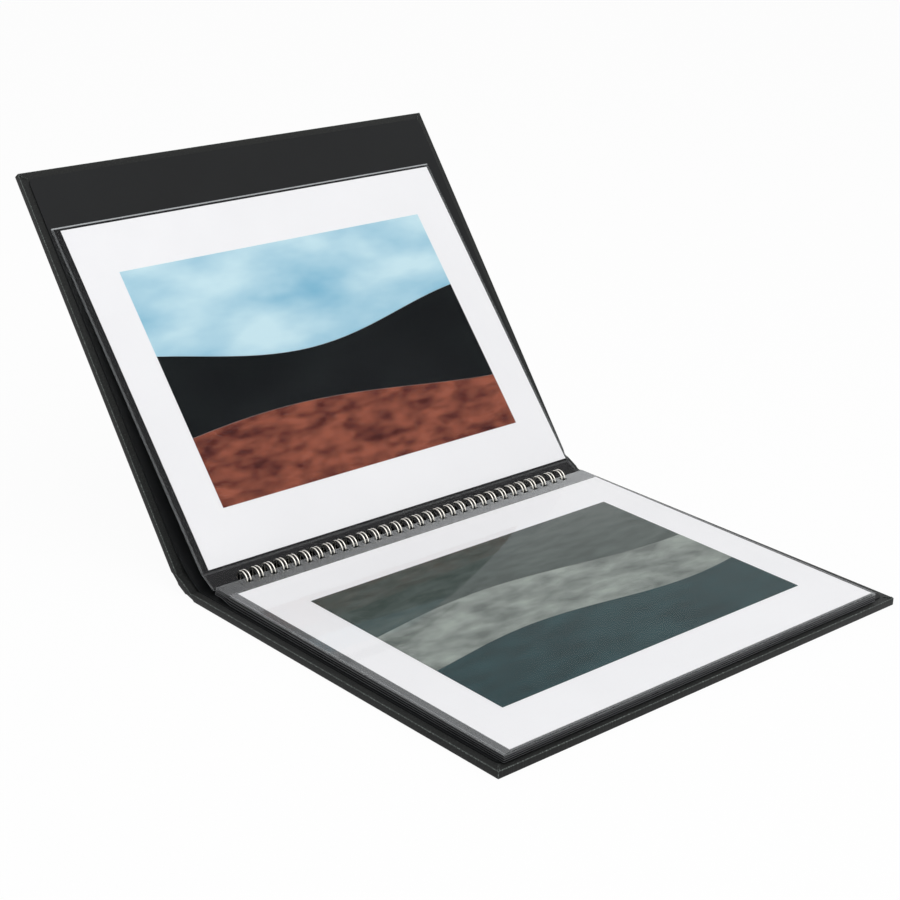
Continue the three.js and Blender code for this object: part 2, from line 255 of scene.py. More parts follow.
class Shade:
    """A node material under construction, with its Principled node at hand."""

    def __init__(self, name, color, roughness, metallic=0.0, specular=0.5):
        self.material = bpy.data.materials.new(name)
        self.material.use_nodes = True
        self.tree = self.material.node_tree
        self.base = self.tree.nodes["Principled BSDF"]
        self.output = self.tree.nodes["Material Output"]
        self.base.inputs["Base Color"].default_value = (*color, 1)
        self.base.inputs["Roughness"].default_value = roughness
        self.base.inputs["Metallic"].default_value = metallic
        self.base.inputs["Specular IOR Level"].default_value = specular

    def node(self, kind, **values):
        node = self.tree.nodes.new(kind)
        for key, value in values.items():
            if hasattr(node, key):
                setattr(node, key, value)
            else:
                node.inputs[key.replace("_", " ")].default_value = value
        return node

    def link(self, a, b):
        self.tree.links.new(a, b)

    def coordinates(self, kind="Object", scale=(1, 1, 1)):
        source = self.node("ShaderNodeTexCoord")
        mapping = self.node("ShaderNodeMapping")
        mapping.inputs["Scale"].default_value = scale
        self.link(source.outputs[kind], mapping.inputs["Vector"])
        return mapping.outputs["Vector"]

    def noise(self, vector, scale, detail=3.0, roughness=0.55):
        noise = self.node("ShaderNodeTexNoise", Scale=scale, Detail=detail, Roughness=roughness)
        self.link(vector, noise.inputs["Vector"])
        return noise.outputs["Fac"]

    def wave(self, vector, direction, pitch, distortion):
        """Bands across a direction; the texture has a band each pi / 10 at a scale of 1."""
        scale = pi / 10 / pitch
        wave = self.node("ShaderNodeTexWave", bands_direction=direction, Scale=scale, Distortion=distortion)
        self.link(vector, wave.inputs["Vector"])
        return wave.outputs["Fac"]

    def math(self, operation, a, b):
        node = self.node("ShaderNodeMath", operation=operation)
        for socket, value in zip(node.inputs, (a, b)):
            if isinstance(value, (int, float)):
                socket.default_value = value
            else:
                self.link(value, socket)
        return node.outputs[0]

    def ramp(self, factor, stops):
        node = self.node("ShaderNodeValToRGB")
        elements = node.color_ramp.elements
        while len(elements) < len(stops):
            elements.new(0.5)
        for element, (place, color) in zip(elements, stops):
            element.position = place
            element.color = (*color, 1)
        self.link(factor, node.inputs["Fac"])
        return node.outputs["Color"]

    def color(self, factor, *stops):
        self.link(self.ramp(factor, stops), self.base.inputs["Base Color"])

    def range(self, factor, low, high):
        node = self.node("ShaderNodeMapRange")
        node.inputs["To Min"].default_value = low
        node.inputs["To Max"].default_value = high
        self.link(factor, node.inputs["Value"])
        return node.outputs["Result"]

    def roughness(self, factor, low, high):
        self.link(self.range(factor, low, high), self.base.inputs["Roughness"])

    def bump(self, height, distance, strength=1.0):
        node = self.node("ShaderNodeBump", Strength=strength, Distance=distance)
        self.link(height, node.inputs["Height"])
        self.link(node.outputs["Normal"], self.base.inputs["Normal"])
        return node.outputs["Normal"]


def cloth_material(name, look, lift):
    """Woven book cloth; lift is how many times paler it is painted, and above one it is a painted highlight.
    """
    color = [c * lift for c in look.cloth_color]
    shade = Shade(name, color, 0.8, specular=0.25)
    uv = shade.coordinates("UV")
    warp = shade.wave(uv, "X", look.weave_pitch, 0.6)
    weft = shade.wave(uv, "Y", look.weave_pitch, 0.6)
    weave = shade.math("MULTIPLY", warp, weft)
    slubs = shade.noise(uv, 1100, 3, 0.7)
    height = shade.math("ADD", weave, slubs)
    dark = [c * 0.4 for c in color]
    light = [c * 5 for c in color]
    shade.color(slubs, (0.38, dark), (0.52, color), (0.7, light))
    shade.roughness(slubs, 0.5, 0.8)
    shade.base.inputs["Sheen Weight"].default_value = 0.1
    shade.base.inputs["Sheen Roughness"].default_value = 0.4
    shade.bump(height, 0.00012, 0.7)
    return shade.material


def board_material():
    """Grey board of pressed fibres."""
    shade = Shade("greyboard", (0.19, 0.17, 0.15), 0.95, specular=0.2)
    place = shade.coordinates()
    fibre = shade.noise(place, 700, 6, 0.7)
    shade.color(fibre, (0.3, (0.14, 0.125, 0.11)), (0.7, (0.25, 0.23, 0.2)))
    shade.bump(fibre, 0.0001)
    return shade.material


def lining_material(look):
    """Matt black paper with a fine grain."""
    shade = Shade("lining", look.lining_color, 0.62, specular=0.2)
    uv = shade.coordinates("UV")
    grain = shade.noise(uv, 1600, 5, 0.65)
    cloud = shade.noise(uv, 9, 3)
    dark = [c * 0.86 for c in look.lining_color]
    light = [c * 1.16 for c in look.lining_color]
    shade.color(cloud, (0.35, dark), (0.65, light))
    shade.roughness(grain, 0.5, 0.72)
    shade.bump(grain, 0.00005, 0.6)
    return shade.material


def wire_material(look):
    """Bright drawn metal, a little rubbed."""
    shade = Shade("wire", look.wire_color, 0.24, metallic=1.0)
    place = shade.coordinates()
    rub = shade.noise(place, 260, 3)
    shade.roughness(rub, 0.18, 0.34)
    shade.bump(shade.noise(place, 1100, 2), 0.00002, 0.4)
    return shade.material


def film_material(name, haze_left, haze_right, ripple_strength, look):
    """Clear film: what lies behind shows, and the rest mirrors the room. The haze may grow along X."""
    shade = Shade(name, look.film_color, 0.06, specular=0.5)
    place = shade.coordinates(scale=(1, 1.6, 1))
    ripple = shade.noise(place, 22, 2, 0.4)
    normal = shade.bump(ripple, 0.0016, ripple_strength)
    gloss = shade.node("ShaderNodeBsdfGlossy", Roughness=0.04)
    gloss.inputs["Color"].default_value = (1, 1, 1, 1)
    shade.link(normal, gloss.inputs["Normal"])
    clear = shade.node("ShaderNodeBsdfTransparent")
    facing = shade.node("ShaderNodeLayerWeight", Blend=0.5)
    steep = shade.math("MULTIPLY", shade.math("POWER", facing.outputs["Facing"], 5.0), look.film_gloss)
    share = shade.math("ADD", steep, 0.0015)
    mirrored = shade.node("ShaderNodeMixShader")
    shade.link(share, mirrored.inputs["Fac"])
    shade.link(clear.outputs[0], mirrored.inputs[1])
    shade.link(gloss.outputs[0], mirrored.inputs[2])
    hazy = shade.node("ShaderNodeMixShader")
    hazy.inputs["Fac"].default_value = haze_left
    if haze_left != haze_right:
        split = shade.node("ShaderNodeSeparateXYZ")
        shade.link(shade.coordinates(), split.inputs["Vector"])
        spread = shade.range(split.outputs["X"], haze_left, haze_right)
        spread.node.inputs["From Min"].default_value = POCKET_LEFT
        spread.node.inputs["From Max"].default_value = POCKET_RIGHT
        shade.link(spread, hazy.inputs["Fac"])
    shade.link(mirrored.outputs[0], hazy.inputs[1])
    shade.link(shade.base.outputs[0], hazy.inputs[2])
    shade.link(hazy.outputs[0], shade.output.inputs["Surface"])
    return shade.material


def insert_material():
    """Black card."""
    shade = Shade("black_insert", (0.008, 0.008, 0.009), 0.85, specular=0.25)
    place = shade.coordinates()
    fibre = shade.noise(place, 900, 5, 0.65)
    shade.color(fibre, (0.3, (0.006, 0.006, 0.007)), (0.7, (0.012, 0.012, 0.013)))
    shade.bump(fibre, 0.00005)
    return shade.material


def sheet_material():
    """White picture paper."""
    shade = Shade("white_sheet", (0.92, 0.92, 0.94), 0.55, specular=0.4)
    place = shade.coordinates()
    cloud = shade.noise(place, 14, 3)
    shade.color(cloud, (0.3, (0.91, 0.91, 0.93)), (0.7, (0.94, 0.94, 0.96)))
    shade.bump(shade.noise(place, 1500, 4), 0.00003, 0.5)
    return shade.material


def page_material():
    """A clear page seen from its edge: a dark insert between two bright films."""
    shade = Shade("pages", (0.012, 0.0125, 0.013), 0.35, specular=0.4)
    place = shade.coordinates(scale=(1, 1, 40))
    band = shade.noise(place, 60, 3)
    shade.color(band, (0.35, (0.006, 0.0065, 0.007)), (0.7, (0.02, 0.021, 0.022)))
    shade.roughness(shade.noise(place, 30, 2), 0.18, 0.42)
    return shade.material


def page_edge_material():
    """A page whose films catch the light at their edge, in streaks."""
    shade = Shade("page_edges", (0.1, 0.104, 0.11), 0.35, specular=0.4)
    place = shade.coordinates(scale=(0.03, 0.03, 3))
    streak = shade.noise(place, 220, 3)
    shade.color(streak, (0.36, (0.05, 0.052, 0.055)), (0.64, (0.16, 0.166, 0.175)))
    return shade.material


def print_material(name, low, high, scale, stretch):
    """A field of a print, in two near tones."""
    shade = Shade(name, low, 0.6, specular=0.04)
    place = shade.coordinates(scale=stretch)
    tone = shade.noise(place, scale, 4, 0.5)
    shade.color(tone, (0.32, low), (0.68, high))
    return shade.material


# Settings


def color_setting(name, description, default):
    return FloatVectorProperty(
        name=name, description=description, default=default, size=3, subtype="COLOR", min=0, max=1
    )


def length_setting(name, description, default):
    return FloatProperty(name=name, description=description, default=default, min=0, unit="LENGTH")


def share_setting(name, description, default):
    return FloatProperty(name=name, description=description, default=default, min=0, max=2)


def angle_setting(name, description, degrees):
    return FloatProperty(name=name, description=description, default=radians(degrees), subtype="ANGLE")


def power_setting(name, description, default):
    return FloatProperty(name=name, description=description, default=default, min=0, unit="POWER")


class CaseSettings(bpy.types.PropertyGroup):
    cloth_color: color_setting("Cloth colour", "Colour of the woven book cloth", (0.0056, 0.0064, 0.006))
    weave_pitch: length_setting("Weave pitch", "Distance from thread to thread", 0.0007)
    edge_radius: length_setting("Edge radius", "Rounding of the cloth round the boards", 0.0004)
    groove_depth: length_setting("Groove depth", "Depth of the grooves beside the spine", 0.0012)
    lining_color: color_setting("Lining colour", "Colour of the matt lining sheet", (0.006, 0.0067, 0.0074))
    lining_corner: length_setting("Lining corner", "Radius of the lining's corners", 0.004)


class WireSettings(bpy.types.PropertyGroup):
    wire_color: color_setting("Wire colour", "Colour of the wire's metal", (0.8, 0.78, 0.72))
    wire_diameter: length_setting("Wire diameter", "Thickness of the wire", 0.0009)
    sides: IntProperty(name="Wire sides", description="Faces round the wire", default=8, min=5, max=16)


class PocketSettings(bpy.types.PropertyGroup):
    film_color: color_setting("Film colour", "Tint of the clear film", (0.75, 0.78, 0.8))
    film_thickness: length_setting("Film thickness", "Thickness of one film", 0.00012)
    film_gloss: share_setting("Film gloss", "How much the film mirrors at a low angle", 0.36)
    page_count: IntProperty(name="Pages", description="Pages under the top pocket", default=8, min=1, max=40)


class StageSettings(bpy.types.PropertyGroup):
    lens: FloatProperty(
        name="Lens", description="Focal length on a 36 mm sensor", default=80.742, min=20, unit="CAMERA"
    )
    azimuth: angle_setting("Azimuth", "Turn of the camera round the book", -42.487)
    elevation: angle_setting("Elevation", "Height of the camera's view", 21.075)
    roll: angle_setting("Roll", "Tilt of the camera about its view", 1.748)
    distance: length_setting("Distance", "From the camera to the point that it looks at", 1.18001)
    target: FloatVectorProperty(
        name="Target",
        description="The point that the camera looks at",
        default=(0.01046, 0.00978, 0.0604),
        size=3,
        subtype="XYZ",
    )
    key_power: power_setting("Key power", "Power of the large lamp overhead", 8.8)
    fill_power: power_setting("Fill power", "Power of the lamp on the reader's side", 2.4)
    room_light: share_setting("Room light", "Strength of the light all round", 0.53)


# Operators


class DISPLAYBOOK_OT_boards(bpy.types.Operator):
    """Finish the three boards inside the case"""

    bl_idname = "displaybook.boards"
    bl_label = "Boards"

    def execute(self, context):
        material = board_material()
        for name in ("back_board", "spine_board", "front_board"):
            finish_node(name, material)
        return {"FINISHED"}


def groove(depth, place_a, place_b):
    """The outside of the cloth where it dips between two boards."""
    rim = GROOVE_HALF + 0.2 * MM
    shoulder = GROOVE_HALF - 0.7 * MM
    bottom = 0.5 * MM
    floor = depth - COVER_THICKNESS
    slope = floor - depth * 0.4
    return [
        place_a(rim, -COVER_THICKNESS),
        place_a(shoulder, slope),
        place_a(bottom, floor),
        place_b(bottom, floor),
        place_b(shoulder, slope),
        place_b(rim, -COVER_THICKNESS),
    ]


def round_edges(bm, edges, radius, segments):
    """Rounds edges, and gives the new faces the paler cloth, a painted highlight where light would catch the
    rounding.
    """
    made = bmesh.ops.bevel(
        bm,
        geom=edges,
        offset=radius,
        affect="EDGES",
        segments=segments,
        profile=0.5,
        material=-1,
        clamp_overlap=True,
    )
    for face in made["faces"]:
        face.material_index = 1


def add_mitres(bm, place, tilt):
    """Folds the cloth over itself at a board's two free corners."""
    for side in (-1, 1):
        middle = place(COVER_REACH - MITRE_INSET, MITRE_HEIGHT)
        middle.x = side * (COVER_WIDTH / 2 - MITRE_INSET)
        lean = pi / 4 * side * (1 if tilt else -1)
        turn = Matrix.Rotation(tilt, 4, "X") @ Matrix.Rotation(lean, 4, "Z")
        fold = Matrix.Translation(middle) @ turn @ Matrix.Diagonal((*MITRE_SIZE, 1))
        made = bmesh.ops.create_cube(bm, size=1, matrix=fold)
        edges = list({e for v in made["verts"] for e in v.link_edges})
        # The mitres' rounded edges take the same painted highlight
        round_edges(bm, edges, MITRE_ROUNDING, 2)


def cloth_half(name, section, is_split, look, place, tilt, *materials):
    """One cover's cloth and half of the spine's, rounded but where the halves meet."""
    bm = bmesh.new()
    prism(bm, section, COVER_WIDTH / 2)
    edges = [e for e in sharp_edges(bm) if not all(is_split(v.co) for v in e.verts)]
    round_edges(bm, edges, look.edge_radius, 3)
    add_mitres(bm, place, tilt)
    bmesh.ops.recalc_face_normals(bm, faces=bm.faces)
    lay_uv(bm, case_run)
    soften(bm)
    return make_piece(name, bm, *materials)


class DISPLAYBOOK_OT_case_cloth(bpy.types.Operator):
    """Wrap the boards in woven book cloth with a groove on each side of the spine"""

    bl_idname = "displaybook.case_cloth"
    bl_label = "Case Cloth"

    def execute(self, context):
        look = context.scene.display_book_case
        # The second cloth is painted ten times paler: a painted highlight for the rounded edges of the boards
        # and mitres
        materials = cloth_material("cover_cloth", look, 1), cloth_material("cover_cloth_painted_highlight", look, 10)
        middle_in = on_spine(SPINE_MIDDLE, 0)
        middle_out = on_spine(SPINE_MIDDLE, -COVER_THICKNESS)

        def is_split(co):
            along = (co - BACK_FOLD).dot(Vector((0, cos(SPINE_ANGLE), sin(SPINE_ANGLE))))
            return abs(along - SPINE_MIDDLE) < 1e-5

        back_groove = groove(look.groove_depth, on_back, on_spine)
        back = [on_back(COVER_REACH, 0), on_back(COVER_REACH, -COVER_THICKNESS)] + back_groove
        back += [middle_out, middle_in, on_spine(GROOVE_HALF, 0), on_spine(CREASE_HALF, -CREASE_DEPTH)]
        back += [on_back(CREASE_HALF, -CREASE_DEPTH), on_back(GROOVE_HALF, 0)]
        low = cloth_half("case_cloth_back", back, is_split, look, on_back, 0.0, *materials)
        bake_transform(low)
        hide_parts("back_cover_cloth")

        def before_front(along, height):
            return on_spine(SPINE_LENGTH - along, height)

        front_groove = groove(look.groove_depth, before_front, on_front)
        front = [middle_out] + front_groove
        front += [on_front(COVER_REACH, -COVER_THICKNESS), on_front(COVER_REACH, 0), on_front(GROOVE_HALF, 0)]
        front += [on_front(CREASE_HALF, -CREASE_DEPTH), before_front(CREASE_HALF, -CREASE_DEPTH)]
        front += [before_front(GROOVE_HALF, 0), middle_in]
        high = cloth_half("case_cloth_front", front, is_split, look, on_front, COVER_ANGLE, *materials)
        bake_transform(high)
        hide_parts("spine_cloth", "front_cover_cloth")
        return {"FINISHED"}


def lining_half(name, bm, look, material):
    """Draws the lining's centre line out along X, rounds its free corners and gives it its thickness."""
    edges = list(bm.edges)
    drawn = bmesh.ops.extrude_edge_only(bm, edges=edges)
    bmesh.ops.translate(bm, verts=moved_verts(drawn), vec=(2 * LINING_HALF, 0, 0))
    corners = [v for v in bm.verts if v.is_boundary and abs(case_run(v.co)[0]) > LINING_REACH - 1 * MM]
    bmesh.ops.bevel(
        bm, geom=corners, offset=look.lining_corner, affect="VERTICES", segments=4, profile=0.5, material=-1
    )
    bmesh.ops.recalc_face_normals(bm, faces=bm.faces)
    if sum(f.normal.z * f.calc_area() for f in bm.faces) < 0:
        bmesh.ops.reverse_faces(bm, faces=bm.faces)
    bmesh.ops.solidify(bm, geom=bm.faces[:], thickness=LINING_THICKNESS)
    bmesh.ops.recalc_face_normals(bm, faces=bm.faces)
    lay_uv(bm, case_run)
    soften(bm, radians(40))
    return make_piece(name, bm, material)


class DISPLAYBOOK_OT_linings(bpy.types.Operator):
    """Lay the black lining sheet over the inside of the case and through the gutter"""

    bl_idname = "displaybook.linings"
    bl_label = "Lining"

    def execute(self, context):
        look = context.scene.display_book_case
        material = lining_material(look)
        middle = LINING_HEIGHT + LINING_THICKNESS / 2
        first = Vector((-LINING_HALF, BACK_FOLD.y - LINING_REACH, middle))
        bend_from = Vector((-LINING_HALF, BACK_FOLD.y + BEND_START, middle))
        bend_centre = bend_from + Vector((0, 0, BEND_RADIUS - LINING_THICKNESS / 2))
        bm = bmesh.new()
        start = bm.verts.new(first)
        turn = bm.verts.new(bend_from)
        bm.edges.new((start, turn))
        spun = bmesh.ops.spin(bm, geom=[turn], cent=bend_centre, axis=(1, 0, 0), angle=BEND_ANGLE, steps=12)
        bend_to = last_vert(spun).co.copy()
        low = lining_half("lining_back", bm, look, material)
        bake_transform(low)
        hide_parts("back_lining", "gutter_lining")

        bm = bmesh.new()
        turn = bm.verts.new(bend_to)
        ease_centre = bend_to + EASE_RADIUS * Vector((0, -sin(BEND_ANGLE), cos(BEND_ANGLE)))
        spun = bmesh.ops.spin(
            bm, geom=[turn], cent=ease_centre, axis=(1, 0, 0), angle=COVER_ANGLE - BEND_ANGLE, steps=16
        )
        end = last_vert(spun)
        reach = case_run(end.co)[0] - SPINE_LENGTH
        drawn = bmesh.ops.extrude_vert_indiv(bm, verts=[end])
        far = Vector((0, cos(COVER_ANGLE), sin(COVER_ANGLE))) * (LINING_REACH - reach)
        bmesh.ops.translate(bm, verts=drawn["verts"], vec=far)
        high = lining_half("lining_front", bm, look, material)
        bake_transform(high)
        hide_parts("front_lining")
        return {"FINISHED"}


class DISPLAYBOOK_OT_wire(bpy.types.Operator):
    """Bend one round wire into thirty double loops"""

    bl_idname = "displaybook.wire"
    bl_label = "Twin-Loop Wire"

    def execute(self, context):
        look = context.scene.display_book_wire
        bm = bmesh.new()
        tip = LOOP_SEAM + LOOP_SWEEP
        radial_seam = Vector((0, cos(LOOP_SEAM), sin(LOOP_SEAM)))
        radial_tip = Vector((0, cos(tip), sin(tip)))
        first_x = FIRST_LOOP - LOOP_SPACING / 2
        ring = bmesh.ops.create_circle(bm, segments=look.sides, radius=look.wire_diameter / 2)["verts"]
        tangent = Vector((0, -sin(LOOP_SEAM), cos(LOOP_SEAM)))
        place = WIRE_AXIS + Vector((first_x, 0, 0)) + radial_seam * LOOP_RADIUS
        turn = tangent.to_track_quat("Z", "X").to_matrix().to_4x4()
        bmesh.ops.transform(bm, matrix=Matrix.Translation(place) @ turn, verts=ring)
        edges = list({e for v in ring for e in v.link_edges})
        bmesh.ops.contextual_create(bm, geom=list(ring))

        def bend(centre, axis, angle, steps):
            nonlocal edges
            spun = bmesh.ops.spin(bm, geom=edges, cent=centre, axis=axis, angle=angle, steps=steps)
            edges = [g for g in spun["geom_last"] if isinstance(g, bmesh.types.BMEdge)]

        def draw(vec):
            nonlocal edges
            drawn = bmesh.ops.extrude_edge_only(bm, edges=edges)
            bmesh.ops.translate(bm, verts=moved_verts(drawn), vec=vec)
            edges = moved_edges(drawn)

        gap = LOOP_PITCH - LOOP_SPACING
        for i in range(LOOP_COUNT):
            x = FIRST_LOOP + i * LOOP_PITCH
            middle = Vector((x, WIRE_AXIS.y, WIRE_AXIS.z))
            bend(middle, (1, 0, 0), LOOP_SWEEP, LOOP_STEPS)
            bend(middle + radial_tip * LOOP_RADIUS, radial_tip, -pi, 8)
            bend(middle, (1, 0, 0), -LOOP_SWEEP, LOOP_STEPS)
            if i == LOOP_COUNT - 1:
                break
            right = middle + Vector((LOOP_SPACING / 2, 0, 0)) + radial_seam * LOOP_RADIUS
            bend(right + Vector((WIRE_CORNER, 0, 0)), radial_seam, pi / 2, 4)
            draw((gap - 2 * WIRE_CORNER, 0, 0))
            left = right + Vector((gap, 0, 0))
            bend(left - Vector((WIRE_CORNER, 0, 0)), radial_seam, pi / 2, 4)
        bmesh.ops.contextual_create(bm, geom=edges)
        bmesh.ops.remove_doubles(bm, verts=bm.verts, dist=1e-6)
        bmesh.ops.recalc_face_normals(bm, faces=bm.faces)
        soften(bm, radians(60))
        wire = make_piece("wire_loops", bm, wire_material(look))
        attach(wire, "back_cover")
        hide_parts("twin_loop_wire")
        return {"FINISHED"}


def punched_sheet(bm, rows, border=WELD):
    """A sheet drawn row by row up the page, with a square hole for each loop after its second row."""
    columns = [POCKET_LEFT, POCKET_LEFT + border]
    for i in range(LOOP_COUNT):
        x = FIRST_LOOP + i * LOOP_PITCH
        columns += [x - HOLE_HALF, x + HOLE_HALF]
    columns += [POCKET_RIGHT - WELD, POCKET_RIGHT]
    row = [bm.verts.new((x, rows[0].y, rows[0].z)) for x in columns]
    edges = [bm.edges.new(pair) for pair in zip(row, row[1:])]
    for before, after in zip(rows, rows[1:]):
        drawn = bmesh.ops.extrude_edge_only(bm, edges=edges)
        bmesh.ops.translate(bm, verts=moved_verts(drawn), vec=after - before)
        edges = moved_edges(drawn)
    lower, upper = rows[1:3]
    centre = (lower + upper) / 2
    size = (upper - lower).length / 2
    holes = []
    for face in bm.faces:
        middle = face.calc_center_median()
        near = (Vector((0, middle.y, middle.z)) - centre).length < size * 0.5
        place = (middle.x - FIRST_LOOP) / LOOP_PITCH
        if near and -0.3 < place < LOOP_COUNT - 0.7 and abs(place - round(place)) < 0.05:
            holes.append(face)
    bmesh.ops.delete(bm, geom=holes, context="FACES")


def finish_film(bm, rows, finish, border):
    """Gives a film's welded sides their material, and the faces between its rows theirs."""
    for face in bm.faces:
        middle = face.calc_center_median()
        if middle.x < POCKET_LEFT + border or middle.x > POCKET_RIGHT - WELD:
            face.material_index = 1
        for index, a, b in zip(finish, rows, rows[1:]):
            if index and (Vector((0, middle.y, middle.z)) - (a + b) / 2).length < (b - a).length / 2:
                face.material_index = index


def thicken(bm, thickness, edge_index):
    """Gives a sheet its thickness, centred, and its cut edges their own finish."""
    bmesh.ops.recalc_face_normals(bm, faces=bm.faces)
    flat = {f.normal.copy().freeze() for f in bm.faces}
    bmesh.ops.solidify(bm, geom=bm.faces[:], thickness=thickness)
    bmesh.ops.recalc_face_normals(bm, faces=bm.faces)
    for face in bm.faces:
        if all(abs(face.normal.dot(n)) < 0.5 for n in flat):
            face.material_index = edge_index


class DISPLAYBOOK_OT_pages(bpy.types.Operator):
    """Stack the pages under the top pocket, each with its punched strip on the wire"""

    bl_idname = "displaybook.pages"
    bl_label = "Pages"

    def execute(self, context):
        look = context.scene.display_book_pocket
        low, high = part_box("page_stack")
        bottom = low.z
        pitch = (high.z - GUTTER_RISE - bottom) / look.page_count
        strip = high.y
        whole = bmesh.new()
        for page in range(look.page_count):
            share = (page + 0.5) / look.page_count
            z = bottom + (page + 0.5) * pitch
            lift = PAGE_LIFT * (1 - share) + GUTTER_RISE * share
            setback = PAGE_SETBACKS[page % len(PAGE_SETBACKS)] * MM
            shift = PAGE_SHIFTS[page % len(PAGE_SHIFTS)] * MM
            rows = [
                Vector((0, strip, z + lift)),
                Vector((0, strip - HOLE_NEAR, z + lift)),
                Vector((0, strip - HOLE_FAR, z + lift)),
                Vector((0, strip - 14 * MM, z + GUTTER_RISE * share)),
                Vector((0, low.y + setback, z)),
            ]
            bm = bmesh.new()
            punched_sheet(bm, rows)
            bmesh.ops.translate(bm, verts=bm.verts, vec=(shift, 0, 0))
            thicken(bm, pitch * PAGE_FILL, page % 2)
            join(whole, bm)
        soften(whole, radians(30))
        pages = make_piece("pages", whole, page_material(), page_edge_material())
        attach(pages, "back_cover")
        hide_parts("page_stack")
        return {"FINISHED"}


def film_pocket(name, rows_by_film, finish, border, weld_haze, band_haze, look, ripple):
    """A pocket of two films, from the rows of each; finish has the material's index after each row."""
    whole = bmesh.new()
    for rows in rows_by_film:
        bm = bmesh.new()
        punched_sheet(bm, rows, border)
        finish_film(bm, rows, finish, border)
        thicken(bm, look.film_thickness, 2)
        join(whole, bm)
    soften(whole, radians(30))
    return make_piece(
        name,
        whole,
        film_material(name + "_clear", 0.001, 0.001, ripple, look),
        film_material(name + "_weld", weld_haze, weld_haze, ripple, look),
        film_material(name + "_edge", 0.35, 0.35, ripple, look),
        film_material(name + "_band", *band_haze, ripple, look),
    )


def strip_core(name, rows, body, material):
    """The black core of a page's punched strip, between the two films."""
    bm = bmesh.new()
    punched_sheet(bm, rows)
    thicken(bm, CORE_THICKNESS, 0)
    soften(bm, radians(30))
    core = make_piece(name, bm, material)
    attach(core, body)
    return core


class DISPLAYBOOK_OT_lower_pocket(bpy.types.Operator):
    """Lay the top pocket on the pages"""

    bl_idname = "displaybook.lower_pocket"
    bl_label = "Lower Pocket"

    def execute(self, context):
        look = context.scene.display_book_pocket
        low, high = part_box("lower_pocket")
        half = look.film_thickness / 2
        edge = high.y

        def row(back, height):
            """A point of the pocket behind its punched edge, and over the underside of its front end."""
            rise = GUTTER_RISE * (1 - back / (high.y - low.y))
            return Vector((0, edge - back, low.z + rise + height))

        films = []
        for height, strip_height in ((1 * MM - half, 0.68 * MM), (half, 0.32 * MM)):
            films.append(
                [
                    row(0.1 * MM, strip_height),
                    row(HOLE_NEAR, strip_height),
                    row(HOLE_FAR, strip_height),
                    row(11.2 * MM, strip_height),
                    row(12.4 * MM, strip_height),
                    row(13.4 * MM, height),
                    row(120 * MM, height),
                    row(high.y - low.y - BORDER_FRONT, height),
                    row(high.y - low.y, height),
                ]
            )
        core = [row(back, 0.5 * MM) for back in (0.5 * MM, HOLE_NEAR, HOLE_FAR)] + [row(13.1 * MM, 0.28 * MM)]
        strip_core("lower_strip", core, "back_cover", insert_material())
        finish = (3, 3, 3, 3, 3, 0, 0, 1)
        pocket = film_pocket("lower_pocket_film", films, finish, BORDER, 0.1, (0.05, 0.25), look, 0.07)
        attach(pocket, "back_cover")
        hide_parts("lower_pocket")
        return {"FINISHED"}


class DISPLAYBOOK_OT_standing_pocket(bpy.types.Operator):
    """Lean the turned page against the front cover"""

    bl_idname = "displaybook.standing_pocket"
    bl_label = "Standing Pocket"

    def execute(self, context):
        look = context.scene.display_book_pocket
        half = look.film_thickness / 2

        def strip(reach, height):
            """A point of the punched strip, which hangs on the wire below the leaf's bend."""
            offset = STRIP_OFFSET + height
            along = reach * cos(STRIP_BEND) + offset * sin(STRIP_BEND)
            return on_leaf(along, offset * cos(STRIP_BEND) - reach * sin(STRIP_BEND))

        films = []
        for height, strip_height in ((0.5 * MM - half, 0.18 * MM), (half - 0.5 * MM, -0.18 * MM)):
            films.append(
                [
                    strip(STRIP_EDGE, strip_height),
                    strip(STRIP_EDGE + HOLE_NEAR, strip_height),
                    strip(STRIP_EDGE + HOLE_FAR, strip_height),
                    strip(STRIP_EDGE + 10.9 * MM, strip_height),
                    strip(STRIP_EDGE + 12 * MM, strip_height),
                    on_leaf(12.4 * MM, LEAF_SETBACK + height),
                    on_leaf(120 * MM, LEAF_SETBACK + height),
                    on_leaf(LEAF_TOP - 0.5 * MM, LEAF_SETBACK + height),
                    on_leaf(LEAF_TOP, LEAF_SETBACK + height),
                ]
            )
        core = [strip(STRIP_EDGE + reach, 0) for reach in (0.4 * MM, HOLE_NEAR, HOLE_FAR, 12 * MM)]
        core += [on_leaf(12.1 * MM, LEAF_SETBACK - 0.22 * MM)]
        strip_core("standing_strip", core, "leaf", insert_material())
        finish = (0, 0, 0, 1, 0, 0, 0, 3)
        pocket = film_pocket("standing_pocket_film", films, finish, WELD, 0.04, (0.4, 0.4), look, 0.05)
        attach(pocket, "leaf")
        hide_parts("standing_pocket")
        return {"FINISHED"}


class DISPLAYBOOK_OT_sheets(bpy.types.Operator):
    """Finish the inserts, the white sheets and the fields of the two prints"""

    bl_idname = "displaybook.sheets"
    bl_label = "Sheets and Prints"

    def execute(self, context):
        black = insert_material()
        white = sheet_material()
        for side in ("lower", "standing"):
            finish_node(side + "_insert", black)
            finish_node(side + "_sheet", white)
        prints = {
            "standing_print_sky": ((0.13, 0.42, 0.62), (0.6, 0.82, 0.9), 10, (1, 1, 3)),
            "standing_print_hills": ((0.002, 0.003, 0.004), (0.006, 0.008, 0.009), 30, (1, 1, 1)),
            "standing_print_field": ((0.06, 0.012, 0.012), (0.34, 0.1, 0.06), 60, (1, 1, 3)),
            "lower_print_far_water": ((0.004, 0.024, 0.028), (0.014, 0.05, 0.056), 40, (1, 3, 1)),
            "lower_print_sand": ((0.13, 0.15, 0.14), (0.32, 0.36, 0.33), 46, (1, 2, 1)),
            "lower_print_near_water": ((0.045, 0.062, 0.056), (0.085, 0.108, 0.1), 60, (1, 3, 1)),
        }
        for name, (low, high, scale, stretch) in prints.items():
            finish_node(name, print_material(name, low, high, scale, stretch))
        return {"FINISHED"}


